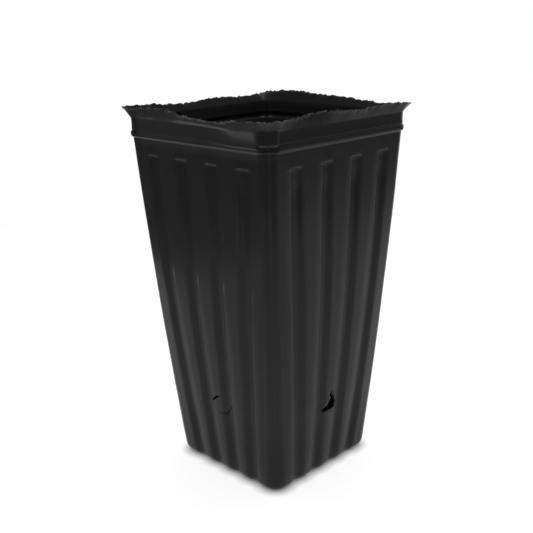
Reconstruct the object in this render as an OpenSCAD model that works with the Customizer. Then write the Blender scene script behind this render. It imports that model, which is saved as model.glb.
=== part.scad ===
// Deep square nursery pot, blow-moulded in one piece from thin black polyethylene.
// The frame stands on its foot at z = 0, with its sides square to X and Y. The mould parted
// at the corner between +X and -Y and at the corner opposite it.

/* [Body] */
// Height from the standing face to the underside of the bead
body_h = 200; // [150:1:280]
// Width across the flats just under the bead
top_w = 111.8; // [95:0.2:140]
// Width across the flats at the foot, before the heel is rounded
foot_w = 83.7; // [76:0.1:95]
// How far a corner stands out from a straight taper at mid height
corner_bow = 0.9; // [0:0.1:3]
// How much further the middle of a side stands out at mid height
side_bow = 1.7; // [0:0.1:4]
// Corner radius just under the bead
top_corner_r = 6.5; // [3:0.1:10]
// Corner radius at the foot
foot_corner_r = 8.5; // [7:0.1:12]
// Thickness of the moulded wall
wall_t = 0.5; // [0.3:0.05:1]

/* [Flutes] */
// Flutes pressed into each side
flutes = 4; // [2:1:5]
// Plain width between a corner and the nearest flute
corner_land = 14.1; // [10:0.1:17]
// Width of a flute with both its walls
flute_w = 10.5; // [8:0.1:12.5]
// Depth of a flute at its top end
flute_top_depth = 2.1; // [0.8:0.1:3]
// Depth of a flute at the foot
flute_foot_depth = 1.7; // [0.8:0.1:3]
// Run of the steep wall, on the side of the parting corner
steep_run = 0.9; // [0.5:0.1:1.5]
// Run of the soft wall, which the mould half draws past
soft_run = 6; // [2:0.1:6.2]
// How far a land falls back by the steep wall of the next flute
land_fall = 0.3; // [0:0.05:0.6]
// Plain height between the flutes and the bead
flute_gap = 9.4; // [4:0.2:25]
// Height of the slope that ends a flute
flute_end_run = 2; // [1:0.1:4]

/* [Foot] */
// Radius of the heel, where the sides turn under
heel_r = 5.5; // [3:0.1:6.5]
// Width of the flat ring that the pot stands on
foot_ring = 5; // [3.5:0.1:8]
// How high the middle of the base is pushed up
base_rise = 2.5; // [1.2:0.1:5]
// Width of the slope from the ring up to the raised middle
rise_run = 2; // [1:0.1:4]
// Corner radius of the raised middle
panel_corner_r = 5; // [2:0.1:10]
// Width of the pinched seam across the base
seam_w = 1.2; // [0.6:0.1:2]
// How far the seam stands down from the raised middle
seam_h = 0.8; // [0.3:0.1:1.1]
// Diameter of the drain hole in the base
base_drain_d = 12; // [6:0.5:20]

/* [Side drains] */
// Diameter of the punch, which runs level and parallel to the parting plane
drain_d = 11.8; // [10:0.1:16]
// Height of the punch above the standing face
drain_z = 47; // [25:0.5:80]
// How far the punch is off the middle of a side, towards the parting corner
drain_shift = 3.5; // [0:0.1:6]
// Gap beside the disc that was pushed in
open_gap = 3; // [2:0.1:4.4]
// Upper gap beside the disc that stayed nearly shut
shut_gap = 1.1; // [0.4:0.1:1.2]
// Lower gap beside the disc that stayed nearly shut
shut_low_gap = 0.9; // [0.4:0.1:1.2]

/* [Rim] */
// Height of the bead round the mouth
bead_h = 4; // [2:0.1:7]
// How far the bead stands out from the wall
bead_depth = 1.5; // [0.6:0.1:3]
// How far the band above the bead stands out from the wall
band_step = 0.6; // [0:0.1:1.5]
// Height of the band between the bead and the crease
band_h = 6.5; // [3:0.1:15]
// Height of the torn lip above the crease
lip_h = 7.3; // [5:0.1:15]
// How far the lip leans out from the band
lip_flare = 3.2; // [0.5:0.1:5]
// How far the torn edge wanders down from its highest point
tear_depth = 4.3; // [0:0.1:4.6]

/* [Hidden] */

heel_steps = 3;
wall_stations = 4;
arc_steps = 5;
steep_steps = 2;
soft_steps = 3;

// How flat the middle of a side is when it stands out: the power of its fall towards the corners
side_flatness = 4;

// Waves of the torn edge: [number round the mouth, share of the tear's depth, start].
tear_waves = [[3, 0.3, 163], [5, 0.14, 262], [8, 0.13, 57]];
tear_middle = 0.48;

// Directions of the gaps, seen from outside, with 0 to the right and 90 up,
// and half the angle that each takes of the punched circle.
open_aim = -34;
open_half_angle = 94;
shut_aim = 142;
shut_half_angle = 45;
shut_low_aim = -68;
shut_low_half_angle = 64;

flute_end_z = body_h - flute_gap;
bead_top_z = body_h + bead_h;
crease_z = bead_top_z + band_h;
lip_z = crease_z + lip_h;
foot_half = foot_w / 2 - heel_r;
panel_half = foot_half - foot_ring - rise_run;
bead_rise = 0.3 * bead_h;

function mix(a, b, share) = a + (b - a) * share;
function ease(share) = (1 - cos(180 * share)) / 2;
function unit(v) = v / norm(v);
function reversed(list) = [for (i = [len(list) - 1:-1:0]) list[i]];

// The taper, with the slight barrel shape of a blown wall: full at mid height, none at either end.
function up(z) = z / body_h;
function barrel(share) = max(4 * share * (1 - share), 0);
function wall_half(z) = mix(foot_w, top_w, up(z)) / 2 + corner_bow * barrel(up(z));
function corner_r(z) = mix(foot_corner_r, top_corner_r, up(z));
function flute_depth(z) = mix(flute_foot_depth, flute_top_depth, up(z));

// A station is one level of the loft:
// [height, half width, corner radius, share of the flutes' depth, share of even spacing].
function wall_at(z, flute_share) = [z, wall_half(z), corner_r(z), flute_share, 0];
function rim_at(z, out) = [z, top_w / 2 + out, top_corner_r + out, 0, 1];

foot_stations = [
    [base_rise, panel_half, panel_corner_r, 0, 1],
    [0, panel_half + rise_run, panel_corner_r, 0, 1]
];
heel_stations = [
    for (i = [0:heel_steps])
        let (a = 90 * i / heel_steps, z = heel_r * (1 - cos(a)), inset = heel_r * (1 - sin(a)))
            [z, wall_half(z) - inset, corner_r(z) - inset, 1, 0]
];
body_stations = [
    for (i = [1:wall_stations])
        wall_at(mix(heel_r, flute_end_z - flute_end_run, i / (wall_stations + 1)), 1)
];
flute_end_stations = [
    for (i = [0:2])
        wall_at(flute_end_z - flute_end_run * (1 - i / 2), 1 - ease(i / 2))
];
rim_stations = [
    rim_at(body_h, 0),
    rim_at(body_h + bead_rise, bead_depth),
    rim_at(bead_top_z - bead_rise, bead_depth),
    rim_at(bead_top_z, band_step),
    rim_at(crease_z, band_step),
    rim_at(lip_z, band_step + lip_flare)
];
stations = concat(foot_stations, heel_stations, body_stations, flute_end_stations, rim_stations);

// Places along a side of the points that draw its flutes, from the parting corner on.
function flute_places(z) =
    let (span = 2 * (wall_half(z) - corner_land), pitch = (span - flute_w) / (flutes - 1))
        [for (i = [0:flutes - 1])
            let (near = i * pitch - span / 2)
                each concat(
                    [for (j = [0:steep_steps]) near + steep_run * j / steep_steps],
                    [for (j = [soft_steps:-1:0]) near + flute_w - soft_run * j / soft_steps]
                )];

// What each of those points takes of the land's fall and of the flute's depth.
flute_dips = [
    for (i = [1:flutes])
        each concat(
            [for (j = [0:steep_steps]) let (down = ease(j / steep_steps)) [1 - down, down]],
            [for (j = [soft_steps:-1:0]) [0, ease(j / soft_steps)]]
        )
];

// The +X side of a station, as plan points from its parting corner to the other corner.
function side(station) =
    let (
        z = station[0],
        flat = station[1] - station[2],
        places = concat([-flat], flute_places(z), [flat]),
        dips = concat([[0, 0]], flute_dips, [[0, 0]]),
        last = len(places) - 1
    )
        [for (j = [0:last])
            let (
                s = mix(places[j], flat * (2 * j / last - 1), station[4]),
                pillow = side_bow * barrel(z / flute_end_z) * (1 - pow(abs(s / flat), side_flatness)),
                dip = dips[j] * [land_fall, flute_depth(z)] * station[3]
            )
                [station[1] + pillow - dip, s]];

function corner(station, start) =
    let (flat = station[1] - station[2], turn = start + 45)
        [for (j = [1:arc_steps - 1])
            let (a = start + 90 * j / arc_steps)
                flat * sqrt(2) * [cos(turn), sin(turn)] + station[2] * [cos(a), sin(a)]];

// The mould halves mirror each other, so each side mirrors its neighbours.
function ring(station) =
    let (
        x_side = side(station),
        y_side = [for (p = reversed(x_side)) [p[1], p[0]]],
        half = concat(x_side, corner(station, 0), y_side, corner(station, 90))
    )
        concat(half, -half);

// Outward direction in plan at point i of a ring, and in profile at station k.
function plan_normal(points, i) =
    let (n = len(points), t = points[(i + 1) % n] - points[(i + n - 1) % n])
        unit([t[1], -t[0]]);
function profile(k) = k < 0 ? [0, base_rise] : [stations[k][1], stations[k][0]];
function profile_normal(k) =
    let (
        top = len(stations) - 1,
        before = unit(profile(k) - profile(k - 1)),
        after = k < top ? unit(profile(k + 1) - profile(k)) : before,
        t = unit(before + after)
    )
        [t[1], -t[0]];

// Drop of the torn edge at a share of the way round.
function tear(share) =
    let (
        shares = [for (w = tear_waves) w[1]],
        swings = [for (w = tear_waves) sin(360 * w[0] * share + w[2])]
    )
        tear_depth * (tear_middle + shares * swings);

// One skin of the pot: its points moved inwards by depth, square to the surface.
function skin(depth) = [
    for (k = [0:len(stations) - 1])
        let (points = ring(stations[k]), across = profile_normal(k), n = len(points))
            for (i = [0:n - 1])
                let (
                    xy = points[i] - depth * across[0] * plan_normal(points, i),
                    drop = k == len(stations) - 1 ? tear(i / n) : 0
                )
                    [xy[0], xy[1], stations[k][0] - depth * across[1] - drop]
];

module shell() {
    n = len(ring(stations[0]));
    bands = len(stations) - 1;
    skin_size = n * len(stations);
    outer_middle = 2 * skin_size;
    inner_middle = outer_middle + 1;
    lip = n * bands;
    points = concat(skin(0), skin(wall_t), [[0, 0, base_rise], [0, 0, base_rise + wall_t]]);
    faces = [
        for (i = [0:n - 1])
            let (j = (i + 1) % n)
                each concat(
                    [for (k = [0:bands - 1])
                        let (a = k * n + i, b = k * n + j)
                            each [[a, a + n, b], [b, a + n, b + n]]],
                    [for (k = [0:bands - 1])
                        let (a = skin_size + k * n + i, b = skin_size + k * n + j)
                            each [[a, b, a + n], [b, b + n, a + n]]],
                    [[lip + i, skin_size + lip + i, lip + j]],
                    [[lip + j, skin_size + lip + i, skin_size + lip + j]],
                    [[outer_middle, i, j], [inner_middle, skin_size + j, skin_size + i]]
                )
    ];
    polyhedron(points, faces);
}

// The seam that the closing mould pinched across the base, between the parting corners.
module base_seam() {
    rotate([0, 0, -45])
        translate([-panel_half, -seam_w / 2, base_rise - seam_h])
            cube([2 * panel_half, seam_w, seam_h + wall_t / 2]);
}

// A crescent cut beside a punched disc, as wide as gap at its middle.
module crescent(aim, half_angle, gap) {
    r = drain_d / 2;
    back = gap * (2 * r - gap) / (2 * (r * (1 - cos(half_angle)) - gap));
    travel = drain_d + 4 * max(flute_foot_depth, flute_top_depth);
    difference() {
        cylinder(r = r, h = travel, center = true, $fn = 64);
        rotate([0, 0, aim])
            translate([-back, 0, 0])
                cylinder(r = r + back - gap, h = travel + 1, center = true, $fn = 96);
    }
}

module punch_at(x, y) {
    translate([x, y, drain_z])
        rotate([0, 0, 45])
            rotate([90, 0, 0])
                children();
}

// The two sides that meet at a parting corner: one disc pushed in, the other nearly shut.
module side_drains() {
    half = wall_half(drain_z);
    punch_at(half, -drain_shift)
        crescent(open_aim, open_half_angle, open_gap);
    punch_at(drain_shift, -half) {
        crescent(shut_aim, shut_half_angle, shut_gap);
        crescent(shut_low_aim, shut_low_half_angle, shut_low_gap);
    }
}

module pot() {
    color([0.1, 0.1, 0.105])
        difference() {
            union() {
                shell();
                base_seam();
            }
            side_drains();
            rotate([0, 0, 180])
                side_drains();
            translate([0, 0, base_rise - seam_h - 1])
                cylinder(d = base_drain_d, h = seam_h + wall_t + 2, $fn = 64);
        }
}

pot();
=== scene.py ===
import math

import bpy
from mathutils import Matrix, Vector


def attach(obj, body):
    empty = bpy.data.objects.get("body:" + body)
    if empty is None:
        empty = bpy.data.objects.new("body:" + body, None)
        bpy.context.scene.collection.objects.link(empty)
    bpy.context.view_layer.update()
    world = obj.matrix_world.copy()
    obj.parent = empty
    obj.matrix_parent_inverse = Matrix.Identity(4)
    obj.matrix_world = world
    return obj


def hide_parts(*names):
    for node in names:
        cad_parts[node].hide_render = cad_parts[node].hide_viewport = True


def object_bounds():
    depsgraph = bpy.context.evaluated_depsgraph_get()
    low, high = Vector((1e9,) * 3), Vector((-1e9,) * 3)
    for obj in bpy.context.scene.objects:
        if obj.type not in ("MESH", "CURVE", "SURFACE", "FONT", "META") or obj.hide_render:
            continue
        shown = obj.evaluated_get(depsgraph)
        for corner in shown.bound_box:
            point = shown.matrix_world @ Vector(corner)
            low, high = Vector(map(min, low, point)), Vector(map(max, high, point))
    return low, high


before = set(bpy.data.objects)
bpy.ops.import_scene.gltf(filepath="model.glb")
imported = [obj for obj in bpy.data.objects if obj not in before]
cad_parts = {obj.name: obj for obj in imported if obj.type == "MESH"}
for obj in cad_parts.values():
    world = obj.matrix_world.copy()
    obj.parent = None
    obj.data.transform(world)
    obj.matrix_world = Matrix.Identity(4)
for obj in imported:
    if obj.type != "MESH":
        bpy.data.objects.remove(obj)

cad_low, cad_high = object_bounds()


# The pot's outline
# The pot is one thin skin of black polyethylene, blown into a square mould. Its outline is drawn
# here as one closed line, from the drain hole out under the base, up the outside to the torn
# lip, over it, and down the inside. Each point of the line becomes one ring of the pot.
mm = 0.001
body_h = 200 * mm
top_half = 55.9 * mm
foot_half = 41.85 * mm
corner_bow = 0.9 * mm
top_corner_r = 6.5 * mm
foot_corner_r = 8.5 * mm

heel_r = 5.5 * mm
foot_ring = 5 * mm
base_rise = 2.5 * mm
rise_run = 2 * mm
panel_corner_r = 5 * mm
wall_t = 0.45 * mm
lip_film = 0.28 * mm
ring_half = foot_half - heel_r - foot_ring
panel_half = ring_half - rise_run

flute_end_z = body_h - 8.6 * mm
flute_end_run = 1.9 * mm
flute_fade_run = 14 * mm
flute_end_share = 0.66
plain_neck = 1.2 * mm
drain_z = 47 * mm
drain_d = 11.8 * mm
drain_shift = 3.5 * mm

crease_z = 210.4 * mm
lip_z = 217.8 * mm
crease_out = 0.8 * mm
lip_flare = 1.8 * mm
# Up the bead and the band, in mm: height above the body, and distance out from its top edge
rim_outline = [
    (-1.2, 0), (-0.6, 0), (-0.35, 0.08), (-0.15, 0.36), (0.05, 0.72), (0.25, 0.98), (0.5, 1.14),
    (0.8, 1.24), (1.25, 1.34), (1.6, 1.4), (1.85, 1.42), (2.1, 1.42), (2.4, 1.38), (2.9, 1.2),
    (3.3, 0.88), (3.6, 0.6), (3.9, 0.5), (4.2, 0.74), (4.6, 0.72), (5.4, 0.64), (6.4, 0.6),
    (7.4, 0.6), (8.4, 0.66), (9.2, 0.7), (10.0, 0.76),
]
lip_shares = [0, 0.04, 0.14, 0.28, 0.42, 0.56, 0.68, 0.78, 0.86, 0.92, 0.97, 1]


def mix(a, b, share):
    return a + (b - a) * share


def ease(share):
    return (1 - math.cos(math.pi * share)) / 2


def spread(start, end, count):
    """Evenly spaced values from start to just before end."""
    return [mix(start, end, i / count) for i in range(count)]


def wall_half(z):
    """Half the width across the flats, with the slight barrel shape of a blown wall."""
    share = z / body_h
    return mix(foot_half, top_half, share) + corner_bow * max(4 * share * (1 - share), 0)


def corner_radius(z):
    return mix(foot_corner_r, top_corner_r, z / body_h)


def ring(z, half, radius, flute=0, even=1, lip=0, hole=0, seam=0):
    """One point of the outline: its plan, its height, and what the skin does there."""
    return {"plan": (half, radius, z), "shape": (flute, even, lip), "base": (hole, seam, 0)}


def wall_ring(z, flute=1, inset=0):
    return ring(z, wall_half(z) - inset, corner_radius(z) - inset, flute, even=0)


def rim_ring(z, out, lip=0):
    return ring(z, top_half + out, top_corner_r + out, lip=lip)


def skin_outline(detail):
    """The outline of one skin, from the drain hole to the torn edge. Full detail is 1."""
    line = [
        ring(base_rise, panel_half, panel_corner_r, hole=1 - share, seam=min(6 * (1 - share), 1))
        for share in spread(0, 1, round(7 * detail))
    ]
    line += [
        ring(base_rise * (1 - ease(share)), panel_half + rise_run * share, panel_corner_r)
        for share in spread(0, 1, round(5 * detail))
    ]
    line += [ring(0, ring_half, panel_corner_r)]
    line += [
        wall_ring(heel_r * (1 - math.cos(a)), inset=heel_r * (1 - math.sin(a)))
        for a in spread(0, math.pi / 2, round(8 * detail))
    ]
    low, high = drain_z - 0.8 * drain_d, drain_z + 0.8 * drain_d
    fade_stop = flute_end_z - flute_end_run
    fade_start = fade_stop - flute_fade_run
    line += [wall_ring(z) for z in spread(heel_r, low, round(6 * detail))]
    line += [wall_ring(z) for z in spread(low, high, round(8 + 7 * detail))]
    line += [wall_ring(z) for z in spread(high, fade_start, round(20 * detail))]
    line += [
        wall_ring(mix(fade_start, fade_stop, share), flute=mix(1, flute_end_share, ease(share)))
        for share in spread(0, 1, round(6 * detail))
    ]
    line += [
        wall_ring(mix(fade_stop, flute_end_z, share), flute=flute_end_share * (1 - ease(share)))
        for share in spread(0, 1, round(7 * detail))
    ]
    neck_z = body_h - plain_neck
    line += [wall_ring(z, flute=0) for z in spread(flute_end_z, neck_z, round(7 * detail))]
    step = 1 if detail == 1 else 2
    line += [rim_ring(body_h + z * mm, out * mm) for z, out in rim_outline[::step]]
    line += [
        rim_ring(mix(crease_z, lip_z, share), crease_out + lip_flare * share, share)
        for share in lip_shares[::step]
    ]
    return line


def moved_inside(line):
    """The same line on the inner skin, in from the outer one by the wall's thickness."""
    moved = []
    for i, point in enumerate(line):
        half, radius, z = point["plan"]
        before, after = line[max(i - 1, 0)]["plan"], line[min(i + 1, len(line) - 1)]["plan"]
        run, rise = after[0] - before[0], after[2] - before[2]
        length = math.hypot(run, rise)
        run, rise = (run / length, rise / length) if length else (1, 0)
        wall = mix(wall_t, lip_film, point["shape"][2])
        plan = (half - wall * rise, radius - wall * rise, z + wall * run)
        moved.append({"plan": plan, "shape": point["shape"], "base": point["base"][:2] + (1,)})
    return moved


outer = skin_outline(detail=1)
inner = moved_inside(skin_outline(detail=0.4))
outline = outer + inner[::-1] + outer[:1]

outline_mesh = bpy.data.meshes.new("pot_outline")
outline_mesh.from_pydata([p["plan"] for p in outline], [(i, i + 1) for i in range(len(outline) - 1)], [])
for name in ("shape", "base"):
    values = outline_mesh.attributes.new(name, "FLOAT_VECTOR", "POINT").data
    values.foreach_set("vector", [number for p in outline for number in p[name]])
pot = bpy.data.objects.new("pot_body", outline_mesh)
bpy.context.scene.collection.objects.link(pot)


# The pot's skin
# The mould gave each side its flutes, with a steep wall towards the corner where the mould
# parted and a soft wall away from it, so neighbouring sides mirror each other. The film above the
# crease was torn off, and four discs near the foot were punched along the parting plane.
flute_count = 4
pot_sizes = {
    "Foot half width": foot_half,
    "Top half width": top_half,
    "Body height": body_h,
    "Corner bow": corner_bow,
    "Side bow": 1.7 * mm,
    "Flutes": flute_count,
    "Corner land": 14.1 * mm,
    "Flute width": 10.5 * mm,
    "Flute top depth": 2.1 * mm,
    "Flute foot depth": 1.7 * mm,
    "Flute end height": flute_end_z,
    "Steep run": 1.15 * mm,
    "Crisp run": 0.45 * mm,
    "Soft run at the top": 4 * mm,
    "Soft run at the foot": 6.5 * mm,
    "Land fall": 0.3 * mm,
    "Land fall run": 4.5 * mm,
    "Base hole radius": 6 * mm,
    "Drain radius": drain_d / 2,
    "Drain height": drain_z,
    "Seam height": 0.8 * mm,
    "Seam width": 0.6 * mm,
    "Parting ridge": 0.28 * mm,
    "Parting corner flat": 0.75,
    "Soft band bulge": 0.8 * mm,
    "Soft corner bulge": 1.85 * mm,
    "Corner flare": 1.9 * mm,
    "Tear": 4.3 * mm,
    "Seed": 3,
}
land_columns = 9
flute_columns = 19
gap_columns = 8
corner_columns = 18

blown_pot = bpy.data.node_groups.new("Blown pot", "GeometryNodeTree")
tree = blown_pot
tree.interface.new_socket("Outline", in_out="INPUT", socket_type="NodeSocketGeometry")
tree.interface.new_socket("Pot", in_out="OUTPUT", socket_type="NodeSocketGeometry")
size_keys = {}
for name in pot_sizes:
    socket = tree.interface.new_socket(name, in_out="INPUT", socket_type="NodeSocketFloat")
    size_keys[name] = socket.identifier
tree_in = tree.nodes.new("NodeGroupInput")
tree_out = tree.nodes.new("NodeGroupOutput")


class Field:
    """What a socket gives, such as a number at every point, so that rules read as formulas."""

    def __init__(self, socket):
        self.socket = socket

    def __add__(self, other):
        return maths("ADD", self, other)

    def __radd__(self, other):
        return maths("ADD", other, self)

    def __sub__(self, other):
        return maths("SUBTRACT", self, other)

    def __rsub__(self, other):
        return maths("SUBTRACT", other, self)

    def __mul__(self, other):
        return maths("MULTIPLY", self, other)

    def __rmul__(self, other):
        return maths("MULTIPLY", other, self)

    def __truediv__(self, other):
        return maths("DIVIDE", self, other)

    def __pow__(self, other):
        return maths("POWER", self, other)


def feed(socket, value):
    if isinstance(value, Field):
        tree.links.new(value.socket, socket)
    else:
        socket.default_value = value


def add_node(kind, settings=None, **inputs):
    made = tree.nodes.new(kind)
    for name, value in (settings or {}).items():
        setattr(made, name, value)
    for name, value in inputs.items():
        feed(made.inputs[name.replace("_", " ")], value)
    return made


def maths(operation, *values):
    made = add_node("ShaderNodeMath", {"operation": operation})
    for socket, value in zip(made.inputs, values):
        feed(socket, value)
    return Field(made.outputs[0])


def vector(x, y, z):
    return Field(add_node("ShaderNodeCombineXYZ", X=x, Y=y, Z=z).outputs[0])


def parts(field):
    return [Field(socket) for socket in add_node("ShaderNodeSeparateXYZ", Vector=field).outputs]


def clamped(field, low=0, high=1):
    return maths("MINIMUM", maths("MAXIMUM", field, low), high)


def below(field, limit):
    return maths("LESS_THAN", field, limit)


def eased(share):
    share = clamped(share)
    return share * share * (3 - 2 * share)


def swell(share):
    """Full in the middle, none at either end."""
    return maths("MAXIMUM", 4 * share * (1 - share), 0)


def fallen(distance):
    """The share of its fall that a land has at a distance from the steep wall next to it."""
    return clamped(1 - distance / size["Land fall run"]) ** 2


def hump(distance, width):
    """One at no distance, fading out over the width."""
    return maths("EXPONENT", 0 - (distance / width) ** 2)


def noise(place, wavelength, detail=0, seed=None):
    """From -1 to 1, the same at each run."""
    made = add_node(
        "ShaderNodeTexNoise", {"noise_dimensions": "4D"},
        Vector=place, W=seed or size["Seed"], Scale=1 / wavelength, Detail=detail,
    )
    return 2 * Field(made.outputs[0]) - 1


def placed(mesh, **inputs):
    return Field(add_node("GeometryNodeSetPosition", Geometry=mesh, **inputs).outputs[0])


size = {name: Field(tree_in.outputs[name]) for name in pot_sizes}
outline_in = Field(tree_in.outputs["Outline"])

# Rings go up and columns go round, and the grid is folded into the pot by its formulas.
side_columns = 2 * land_columns + flute_count * flute_columns + (flute_count - 1) * gap_columns
quarter_columns = side_columns + corner_columns
columns = 4 * quarter_columns
rings = add_node("GeometryNodeAttributeDomainSize", Geometry=outline_in).outputs["Point Count"]
grid = add_node("GeometryNodeMeshGrid", Size_X=1, Size_Y=1, Vertices_X=columns + 1, Vertices_Y=Field(rings))
here = parts(Field(add_node("GeometryNodeInputPosition").outputs[0]))
column = maths("FLOORED_MODULO", maths("ROUND", (here[0] + 0.5) * columns), columns)
row = maths("ROUND", (here[1] + 0.5) * (Field(rings) - 1))


def outline_value(value):
    made = add_node(
        "GeometryNodeSampleIndex", {"data_type": "FLOAT_VECTOR"},
        Geometry=outline_in, Value=value, Index=row,
    )
    return parts(Field(made.outputs[0]))


def outline_attribute(name):
    made = add_node("GeometryNodeInputNamedAttribute", {"data_type": "FLOAT_VECTOR"}, Name=name)
    return outline_value(Field(made.outputs[0]))


half, radius, z = outline_value(Field(add_node("GeometryNodeInputPosition").outputs[0]))
flute_share, even_share, lip_share = outline_attribute("shape")
hole_share, seam_share, inner_share = outline_attribute("base")

quarter = maths("FLOOR", column / quarter_columns)
quarter_column = column - quarter * quarter_columns
mirrored = maths("MODULO", quarter, 2)
turned = 1 - 2 * maths("GREATER_THAN", quarter, 1.5)
last_quarter = maths("GREATER_THAN", quarter, 2.5)
on_side = below(quarter_column, side_columns + 0.5)
across = mix(quarter_column, side_columns - quarter_column, mirrored)

# A side: where each column stands along it, and how deep its flute is there. The steep walls
# start late, each a little later than the last, and on one side they turn crisp at mid height.
flat = half - radius
up = z / size["Body height"]
whole_half = mix(size["Foot half width"], size["Top half width"], up) + size["Corner bow"] * swell(up)
span = 2 * (whole_half - size["Corner land"])
pitch = (span - size["Flute width"]) / (size["Flutes"] - 1)
gap_run = pitch - size["Flute width"]
flute_period = flute_columns + gap_columns
past_land = across - land_columns
nth = clamped(maths("FLOOR", past_land / flute_period), 0, flute_count - 1)
past_edge = past_land - nth * flute_period
in_flute = size["Flute width"] * clamped(past_edge / flute_columns) ** 1.5
in_gap = clamped((past_edge - flute_columns) / gap_columns) * gap_run * below(nth, flute_count - 1.5)
first_land = (1 - clamped(across / land_columns)) * (flat - span / 2)
last_land = clamped((past_land - flute_count * flute_period + gap_columns) / land_columns)
last_land = last_land * (flat - span / 2)
fluted_place = nth * pitch - span / 2 + in_flute + in_gap - first_land + last_land
place = mix(fluted_place, flat * (2 * across / side_columns - 1), even_share)
depth = mix(size["Flute foot depth"], size["Flute top depth"], up) * flute_share
crisp_start, crisp_rise = 90 * mm, 38 * mm
late_start, late_step = 0.65, 0.12
crisp = last_quarter * eased((z - crisp_start) / crisp_rise)
started = in_flute - (late_start + late_step * nth) * mm * (1 - crisp)
into = eased(started / mix(size["Steep run"], size["Crisp run"], crisp))
soft_run = mix(size["Soft run at the foot"], size["Soft run at the top"], up)
dip = into * eased((size["Flute width"] - in_flute) / soft_run)
fall = (1 - into) * fallen(first_land) + fallen(gap_run - in_gap)
fall = fall * (1 - 0.9 * crisp)
pillow = size["Side bow"] * swell(z / size["Flute end height"]) * (1 - (place / flat) ** 4)
out = half + pillow - depth * dip - size["Land fall"] * flute_share * fall

# One side's band was still soft when the mould opened. It sagged over the bead in two folds and
# bulges out below the crease, most of all towards the parting corner.
over = z - size["Body height"]
along = 0 - place
near_corner = eased((along - 6 * mm) / (32 * mm))
soft = last_quarter * eased((along + flat) / (9 * mm))
soft = soft * eased((flat + 0.6 * mm - along) / (2.2 * mm))
ripple = 1.05 + 0.3 * noise(vector(along, 0, z * 2), 12 * mm, detail=1)
bulge = mix(size["Soft band bulge"], size["Soft corner bulge"], near_corner) * ripple
rise_share = clamped((over - mix(5.6, 3.4, near_corner) * mm) / (7 * mm)) ** mix(3, 1.5, near_corner)
lead_in = clamped((over + 5 * mm) / (5 * mm)) ** 2
first_fold = eased((over + 0.25 * mm) / (0.8 * mm))
second_fold = eased((over - 1.5 * mm) / (mix(2.4, 0.8, near_corner) * mm))
lip_lean = 1.6 * mm - 0.75 * bulge + 0.5 * mm * hump(along + 4 * mm, 15 * mm)
soft_out = 0.35 * mm * lead_in + 0.55 * mm * first_fold + 0.4 * mm * second_fold
soft_out = soft_out + bulge * rise_share + lip_lean * lip_share
above_flutes = maths("GREATER_THAN", over, -5.5 * mm)
neck_taper = 0.07 * clamped(over, -6 * mm, 0)
out = mix(out, size["Top half width"] + soft_out + neck_taper, soft * above_flutes)
lip_dent = 1.2 * mm * lip_share * hump(place + 30 * mm, 19 * mm) * below(quarter, 0.5)
out = out - lip_dent

# A corner, with its columns drawn together at its middle. The two parting corners are flatter
# towards the top, and the front one has a step above the bead.
turn_share = 2 * (quarter_column - side_columns) / corner_columns - 1
turn_share = 0.5 + 0.5 * maths("SIGN", turn_share) * maths("ABSOLUTE", turn_share) ** 1.6
angle = turn_share * (math.pi / 2)
flatness = size["Parting corner flat"] * mirrored * (1 - 0.8 * lip_share)
flatness = flatness * eased((z - 105 * mm) / (50 * mm))
step_out = 0.4 * mm * eased((over + 0.5 * mm) / (0.9 * mm))
step_out = step_out + 0.95 * mm * eased((over - 3.2 * mm) / (0.8 * mm))
stepped = last_quarter * eased(turn_share / 0.15) * eased((1 - turn_share) / 0.15)
stepped = stepped * eased((over + mm) / (0.4 * mm)) * (1 - clamped(3 * lip_share))
corner_r = mix(radius, top_corner_r + step_out, stepped)
from_middle = angle - math.pi / 4
cut_back = 0.83
root2 = math.sqrt(2)
reach_out = maths("COSINE", from_middle)
reach_out = mix(reach_out, maths("MINIMUM", reach_out, cut_back), flatness)
reach_along = maths("SINE", from_middle)
corner_x = flat + corner_r * (reach_out - reach_along) / root2
corner_y = flat + corner_r * (reach_out + reach_along) / root2

x = mix(mix(corner_x, 0 - corner_y, mirrored), mix(out, place, mirrored), on_side) * turned
y = mix(mix(corner_y, corner_x, mirrored), mix(place, out, mirrored), on_side) * turned

# The base draws in to the round drain hole, and the closing mould left a seam across it.
reach = maths("SQRT", x * x + y * y)
x = mix(x, x * size["Base hole radius"] / reach, hole_share)
y = mix(y, y * size["Base hole radius"] / reach, hole_share)
from_parting = maths("ABSOLUTE", x + y) / root2
seam = size["Seam height"] * hump(from_parting, size["Seam width"]) * seam_share

# The lip flares furthest at the corners, and the parting line stands up on two of them.
shorter = maths("MINIMUM", maths("ABSOLUTE", x), maths("ABSOLUTE", y))
longer = maths("MAXIMUM", maths("ABSOLUTE", x), maths("ABSOLUTE", y))
cornered = (shorter / longer) ** 7 * (1 - 0.6 * mirrored)
ridge = size["Parting ridge"] * hump(from_parting, 0.35 * mm) * below(20 * mm, z)
ridge = ridge * (1 + 2 * hump(over - 3 * mm, 4 * mm))
grow = 1 + (cornered * size["Corner flare"] * lip_share + ridge) / longer
x = x * grow
y = y * grow

# The torn edge: a slow wander round the mouth, then snags, then fine teeth
around = column / columns


def waves_round(count, height, start):
    return height * maths("SINE", 2 * math.pi * count * around + math.radians(start))


wander = 0.48 + waves_round(3, 0.3, 163) + waves_round(5, 0.14, 262) + waves_round(8, 0.13, 57)
edge_place = vector(x, y, 0)
snags = 0.12 * noise(edge_place, 7 * mm, detail=2)
teeth = 0.3 * noise(edge_place, 1.7 * mm, detail=1)
torn = clamped((wander + snags) * lip_share + teeth * lip_share ** 4)
z = z - seam - size["Tear"] * torn

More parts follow.
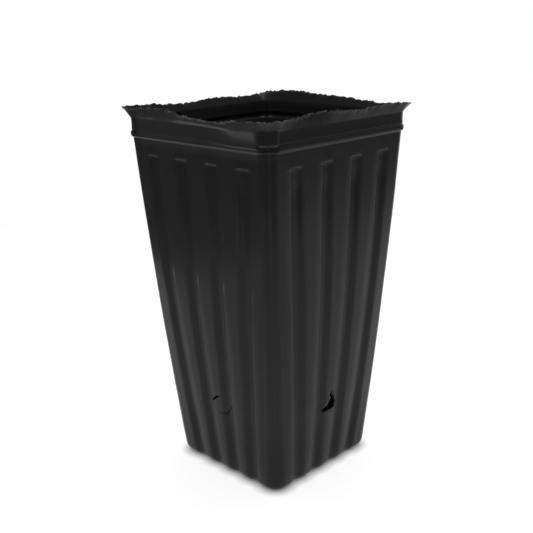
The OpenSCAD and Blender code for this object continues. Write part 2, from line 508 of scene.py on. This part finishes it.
# Painted highlights: paler paint along the steep edges of the flutes, where the lands fall to them,
# and on the lands above mid height. Painted sheen: paler paint on the soft side, most of all on its
# bulge, with painted highlight lines along its second fold and the step at the corner.
# Painted highlight along each steep flute edge, and on the lands above mid height.
edge = hump(started - 0.05 * mm, 0.4 * mm) * maths("GREATER_THAN", past_edge, -0.5) * on_side
edge = edge * (4.5 - 4.3 * crisp)
land = (1 - dip) * on_side * (1 - even_share) * eased((z - 120 * mm) / (50 * mm))
# Painted sheen: the soft side and the corner next to it are painted paler towards the top, most of all
# where the bulge rises near the parting corner.
soft_side_sheen = clamped(soft + (0.1 + 0.5 * lip_share) * last_quarter * (1 - on_side))
soft_side_sheen = soft_side_sheen * (0.15 * eased((z - 105 * mm) / (40 * mm)) + 0.85 * eased((over + 7 * mm) / (7 * mm)))
soft_side_sheen = soft_side_sheen * (1 + 2 * near_corner ** 2 * rise_share ** 0.5 * (1 - lip_share) + 0.2 * lip_share)
# Painted highlight lines along the second fold and the step at the corner.
fold_highlight = 2.2 * soft * near_corner * hump(over - 1.9 * mm, 0.35 * mm)
step_highlight = 4 * stepped * hump(over - 3.6 * mm, 0.4 * mm)

capture = add_node("GeometryNodeCaptureAttribute")
capture.capture_items.new("VECTOR", "Skin")
capture.capture_items.new("FLOAT", "Dulled")
tree.links.new(grid.outputs["Mesh"], capture.inputs["Geometry"])
feed(capture.inputs["Skin"], vector(inner_share, lip_share, flute_share * (fall + edge) + 0.4 * land))
feed(capture.inputs["Dulled"], soft_side_sheen + fold_highlight + step_highlight)
skin = Field(capture.outputs["Geometry"])
skin = placed(skin, Position=vector(x, y, z))
skin = Field(add_node("GeometryNodeMergeByDistance", Geometry=skin, Distance=0.002 * mm).outputs[0])

# The film isn't quite flat, and it wrinkles towards the tear.
inner_share, lip_share, flute_highlights = parts(Field(capture.outputs["Skin"]))
spot = Field(add_node("GeometryNodeInputPosition").outputs[0])
spot_x, spot_y, spot_z = parts(spot)
above_foot = clamped((spot_z - 1 * mm) / (9 * mm))
waves = above_foot * (0.18 * mm * noise(spot, 38 * mm) + 0.05 * mm * noise(spot, 11 * mm))
waves = waves + above_foot * 0.012 * mm * noise(spot, 4 * mm)
pleats = noise(vector(spot_x, spot_y, 0.3 * spot_z), 3 * mm, detail=1)
soft_side_sheen = Field(capture.outputs["Dulled"])
wrinkles = 0.5 * mm * noise(spot, 12 * mm) + 0.3 * mm * noise(spot, 3.5 * mm, detail=2) + 0.4 * mm * pleats
curl = 1.2 * mm * lip_share ** 7 * (0.3 + noise(spot, 5 * mm, detail=1)) * (0.45 + 0.55 * clamped(soft_side_sheen))
push = (waves + wrinkles * lip_share + curl) * (1 - 2 * inner_share)
normal = Field(add_node("GeometryNodeInputNormal").outputs[0])
pushed = add_node("ShaderNodeVectorMath", {"operation": "SCALE"}, Scale=push)
feed(pushed.inputs[0], normal)
skin = placed(skin, Offset=Field(pushed.outputs[0]))

# The skin stays inside the solid's box, as the mould kept it.
mould = [limit - 0.05 * mm for limit in cad_high]
held = [clamped(value, -limit, limit) for value, limit in zip((spot_x, spot_y, spot_z), mould)]
skin = placed(skin, Position=vector(*held))
# Painted highlights on the flute edges and lands, and a paler band along the heel.
highlights_and_heel = flute_highlights + 0.7 * hump(spot_z - 2 * mm, 2.5 * mm)
for name, value in (("highlight_and_heel_paint", highlights_and_heel), ("stretch", lip_share), ("painted_sheen", soft_side_sheen)):
    marked = add_node("GeometryNodeStoreNamedAttribute", Geometry=skin, Name=name, Value=value)
    skin = Field(marked.outputs[0])

# The punched discs: each cut is an arc that runs through the wall along the punch, and what it
# frees is bent inwards. Directions are in degrees, seen from outside, with 0 to the right and 90 up.
punch_travel = 24 * mm
cut_end_gap = 0.02 * mm


def arc_cutter(centre, aim, half_angle, gap, arc_r=None, offset=(0, 0)):
    """A crescent as wide as gap at its middle, run right through the wall."""
    bar = add_node("GeometryNodeMeshCube", Size=(1, 1, 1), Vertices_X=41, Vertices_Y=2, Vertices_Z=2)
    along, outward, level = parts(Field(add_node("GeometryNodeInputPosition").outputs[0]))
    angle = math.radians(aim) - 2 * math.radians(half_angle) * along
    width = gap * maths("COSINE", math.pi * 0.97 * along) + cut_end_gap
    from_axis = (arc_r or size["Drain radius"]) - width * (0.5 - outward)
    right = offset[0] + from_axis * maths("COSINE", angle)
    rise = offset[1] + from_axis * maths("SINE", angle) + size["Drain height"]
    push = punch_travel * level
    place = vector(centre[0] + (right + push) / root2, centre[1] + (right - push) / root2, rise)
    return placed(Field(bar.outputs["Mesh"]), Position=place)


def joined(meshes):
    made = add_node("GeometryNodeJoinGeometry")
    for mesh in meshes:
        tree.links.new(mesh.socket, made.inputs[0])
    return Field(made.outputs[0])


def half_turned(mesh):
    made = add_node("GeometryNodeTransform", Geometry=mesh)
    made.inputs["Rotation"].default_value = (0, 0, math.pi)
    return Field(made.outputs[0])


def bent_disc(mesh, centre, turned, aim, hinge, angle):
    """What lies further out than the hinge, along aim, folds inwards by the angle."""
    aim, angle = math.radians(aim), math.radians(angle)
    spot = parts(Field(add_node("GeometryNodeInputPosition").outputs[0]))
    from_x = spot[0] * turned - centre[0]
    from_y = spot[1] * turned - centre[1]
    right = (from_x + from_y) / root2
    outward = (from_x - from_y) / root2
    rise = spot[2] - size["Drain height"]
    reach = right * math.cos(aim) + rise * math.sin(aim) - hinge
    inside = below(maths("SQRT", right * right + rise * rise), size["Drain radius"] - 0.12 * mm)
    near = below(maths("ABSOLUTE", outward), punch_travel / 2)
    shrink = reach * (math.cos(angle) - 1)
    sink = 0 - reach * math.sin(angle)
    side_step = shrink * math.cos(aim)
    shift_x = turned * (side_step + sink) / root2
    shift_y = turned * (side_step - sink) / root2
    shift = vector(shift_x, shift_y, shrink * math.sin(aim))
    chosen = inside * near * maths("GREATER_THAN", reach, 0)
    return placed(mesh, Selection=chosen, Offset=shift)


drain_half = wall_half(drain_z)
open_centre = (drain_half, -drain_shift)
shut_centre = (drain_shift, -drain_half)
shut_low_aim = -56
torn_loop = arc_cutter(open_centre, 190, 130, 1.5 * mm, 1.9 * mm, (4.6 * mm, 4.0 * mm))
torn_heel = arc_cutter(open_centre, -44, 80, 2 * mm, 3.3 * mm, (3.3 * mm, -2.6 * mm))
punch_cuts = joined([
    arc_cutter(open_centre, -49, 74, 0.3 * mm),
    arc_cutter(shut_centre, 140, 40, 1.25 * mm, 6.2 * mm),
    arc_cutter(shut_centre, shut_low_aim, 78, 0.6 * mm, 5.4 * mm),
])
punched = add_node("GeometryNodeMeshBoolean", {"operation": "DIFFERENCE", "solver": "MANIFOLD"})
feed(punched.inputs["Mesh 1"], skin)
for cutter in (torn_loop, torn_heel, punch_cuts):
    feed(punched.inputs["Mesh 2"], joined([cutter, half_turned(cutter)]))
skin = Field(punched.outputs["Mesh"])
for turned in (1, -1):
    skin = bent_disc(skin, open_centre, turned, -28, 2.1 * mm, 72)
    skin = bent_disc(skin, open_centre, turned, -60, 2.3 * mm, 72)
    skin = bent_disc(skin, shut_centre, turned, shut_low_aim, 2.9 * mm, 12)

smooth = add_node("GeometryNodeSetShadeSmooth", Geometry=skin)
realized = add_node("GeometryNodeRealizeInstances", Geometry=Field(smooth.outputs[0]))
finished = add_node("GeometryNodeSetMaterial", Geometry=Field(realized.outputs[0]))
tree.links.new(finished.outputs[0], tree_out.inputs["Pot"])

# Black polyethylene: satin, with a fine grain from the mould and faint streaks up the wall where
# the film stretched. It is painted darker towards the foot as painted shade, and paler on scuffs,
# along the heel and at the fringe of the tear, with painted highlights on the flute edges and upper
# lands and a painted sheen on the soft side, which also pales the fringe there.
plastic = bpy.data.materials.new("Black polyethylene")
plastic.use_nodes = True
tree = plastic.node_tree
shader = tree.nodes["Principled BSDF"]
spot = Field(add_node("ShaderNodeTexCoord").outputs["Object"])
x, y, z = parts(spot)
highlight_and_heel_paint, stretch, painted_sheen = [
    Field(add_node("ShaderNodeAttribute", {"attribute_name": name}).outputs["Fac"])
    for name in ("highlight_and_heel_paint", "stretch", "painted_sheen")
]
cloud = noise(spot, 22 * mm, detail=3, seed=1)
pebble = noise(spot, 2.2 * mm, detail=2, seed=2)
grain = noise(spot, 0.55 * mm, detail=1, seed=3)
streak = noise(vector(x, y, 0.06 * z), 1.8 * mm, detail=2, seed=4)
scratches = noise(vector(x, y, 0.35 * z), 9 * mm, detail=3, seed=5)
scuff = clamped(1 - maths("ABSOLUTE", scratches) / 0.025) * clamped(3 * cloud)
# Painted highlights on the flute edges and lands, and the paler heel, broken into grainy spots.
highlight_and_heel_spots = highlight_and_heel_paint * clamped(0.65 + 0.6 * pebble + 0.4 * grain)
# Painted sheen on the soft side, in patches.
painted_sheen_patches = painted_sheen * clamped(1 + 0.7 * noise(vector(x, y, 2 * z), 11 * mm, detail=3, seed=7))
fringe = stretch ** 12 * clamped(0.3 + 1.4 * noise(spot, 4 * mm, detail=2, seed=6))
# Painted shade: darker towards the foot.
painted_foot_shade = eased((48 * mm - z) / (34 * mm))
black = 0.025 - 0.0075 * painted_foot_shade + 0.003 * cloud + 0.0015 * streak
black = black + 0.003 * scuff + 0.012 * highlight_and_heel_spots + 0.016 * painted_sheen_patches
feed(shader.inputs["Base Color"], black + (0.06 + 0.12 * clamped(painted_sheen)) * fringe)
rough = 0.21 + 0.03 * cloud + 0.03 * streak + 0.02 * pebble + 0.1 * scuff + 0.05 * highlight_and_heel_spots
feed(shader.inputs["Roughness"], clamped(rough))
shader.inputs["IOR"].default_value = 1.51
shader.inputs["Specular IOR Level"].default_value = 0.1
relief = 0.011 * pebble + 0.004 * grain + 0.004 * streak - 0.003 * scuff
bump = add_node("ShaderNodeBump", Strength=1.0, Distance=mm, Height=relief)
tree.links.new(bump.outputs["Normal"], shader.inputs["Normal"])
finished.inputs["Material"].default_value = plastic

maker = pot.modifiers.new("Blown pot", "NODES")
maker.node_group = blown_pot
for name, value in pot_sizes.items():
    maker[size_keys[name]] = float(value)

ready = pot.evaluated_get(bpy.context.evaluated_depsgraph_get())
pot_mesh = bpy.data.meshes.new_from_object(ready)
pot_mesh.name = "pot_body"
pot.modifiers.remove(maker)
pot.data = pot_mesh
pot_mesh.set_sharp_from_angle(angle=math.radians(50))
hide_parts("pot")
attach(pot, "root")


# The studio
# A pale floor that glows, in front of a white backdrop. Its glow carries a painted pool of light that
# fades out to the right, and painted contact shadow where it meets the pot. The rest of the room is
# dim, which keeps the black skin black.
view_turn = math.radians(44.745)
away = Vector((-math.sin(view_turn), math.cos(view_turn), 0))
rightward = Vector((math.cos(view_turn), math.sin(view_turn), 0))
left, right, front, back = -0.385, 0.75, -0.40, 0.6
floor_corners = [
    rightward * across + away * depth
    for across, depth in ((left, front), (right, front), (right, back), (left, back))
]
floor_mesh = bpy.data.meshes.new("floor")
floor_mesh.from_pydata(floor_corners, [], [(0, 1, 2, 3)])
floor = bpy.data.objects.new("floor", floor_mesh)
bpy.context.scene.collection.objects.link(floor)
floor_paint = bpy.data.materials.new("Pale floor")
floor_paint.use_nodes = True
floor_shader = floor_paint.node_tree.nodes["Principled BSDF"]
floor_shader.inputs["Base Color"].default_value = (0.3, 0.3, 0.3, 1)
floor_shader.inputs["Emission Color"].default_value = (1, 1, 1, 1)
tree = floor_paint.node_tree
# Painted contact shadow: the floor's glow is darkened by ambient occlusion close to the pot.
shade = add_node("ShaderNodeAmbientOcclusion", Distance=6 * mm)
floor_x, floor_y, level = parts(Field(add_node("ShaderNodeTexCoord").outputs["Object"]))
to_right = floor_x * rightward.x + floor_y * rightward.y
# Painted pool of light in the floor's glow, fading out to the right.
painted_light_pool = mix(0.84, 0.25, eased((to_right - 0.36) / 0.36))
feed(floor_shader.inputs["Emission Strength"], painted_light_pool * Field(shade.outputs["AO"]))
floor_shader.inputs["Roughness"].default_value = 0.9
floor_mesh.materials.append(floor_paint)

world = bpy.data.worlds.new("Studio")
bpy.context.scene.world = world
world.use_nodes = True
tree = world.node_tree
backdrop_turn = math.radians(20)
facing = add_node("ShaderNodeVectorMath", {"operation": "DOT_PRODUCT"})
feed(facing.inputs[0], Field(add_node("ShaderNodeTexCoord").outputs["Generated"]))
facing.inputs[1].default_value = away * math.cos(backdrop_turn) + rightward * math.sin(backdrop_turn)
fade = add_node(
    "ShaderNodeMapRange", {"interpolation_type": "SMOOTHSTEP"},
    Value=Field(facing.outputs["Value"]), From_Min=0.5, From_Max=0.78, To_Min=0.132, To_Max=1.0,
)
backdrop = tree.nodes["Background"]
backdrop.inputs["Color"].default_value = (1, 1, 1, 1)
feed(backdrop.inputs["Strength"], Field(fade.outputs["Result"]))


def soft_light(name, place, aim, width, watts):
    data = bpy.data.lights.new(name, "AREA")
    data.shape = "SQUARE"
    data.size = width
    data.energy = watts
    lamp = bpy.data.objects.new(name, data)
    lamp.location = place
    lamp.rotation_euler = (Vector(aim) - Vector(place)).to_track_quat("-Z", "Y").to_euler()
    bpy.context.scene.collection.objects.link(lamp)


soft_light("overhead", (0, 0, 1.2), (0, 0, 0), 0.9, 10)

# The camera stands where the photograph was taken from.
camera_data = bpy.data.cameras.new("camera")
camera_data.lens = 55.46
camera_data.sensor_width = 36
camera_data.shift_x = -0.0080
camera_data.shift_y = 0.0174
camera_data.clip_end = 20
camera = bpy.data.objects.new("camera", camera_data)
bpy.context.scene.collection.objects.link(camera)
camera.location = Vector((331.58, -334.55, 263.71)) * mm
roll = Matrix.Rotation(math.radians(-1.3), 4, "Z")
look = (Vector((0, 0, 114.36)) * mm - camera.location).to_track_quat("-Z", "Y").to_matrix().to_4x4()
camera.rotation_euler = (look @ roll).to_euler()
bpy.context.scene.camera = camera
bpy.context.scene.view_settings.view_transform = "Standard"
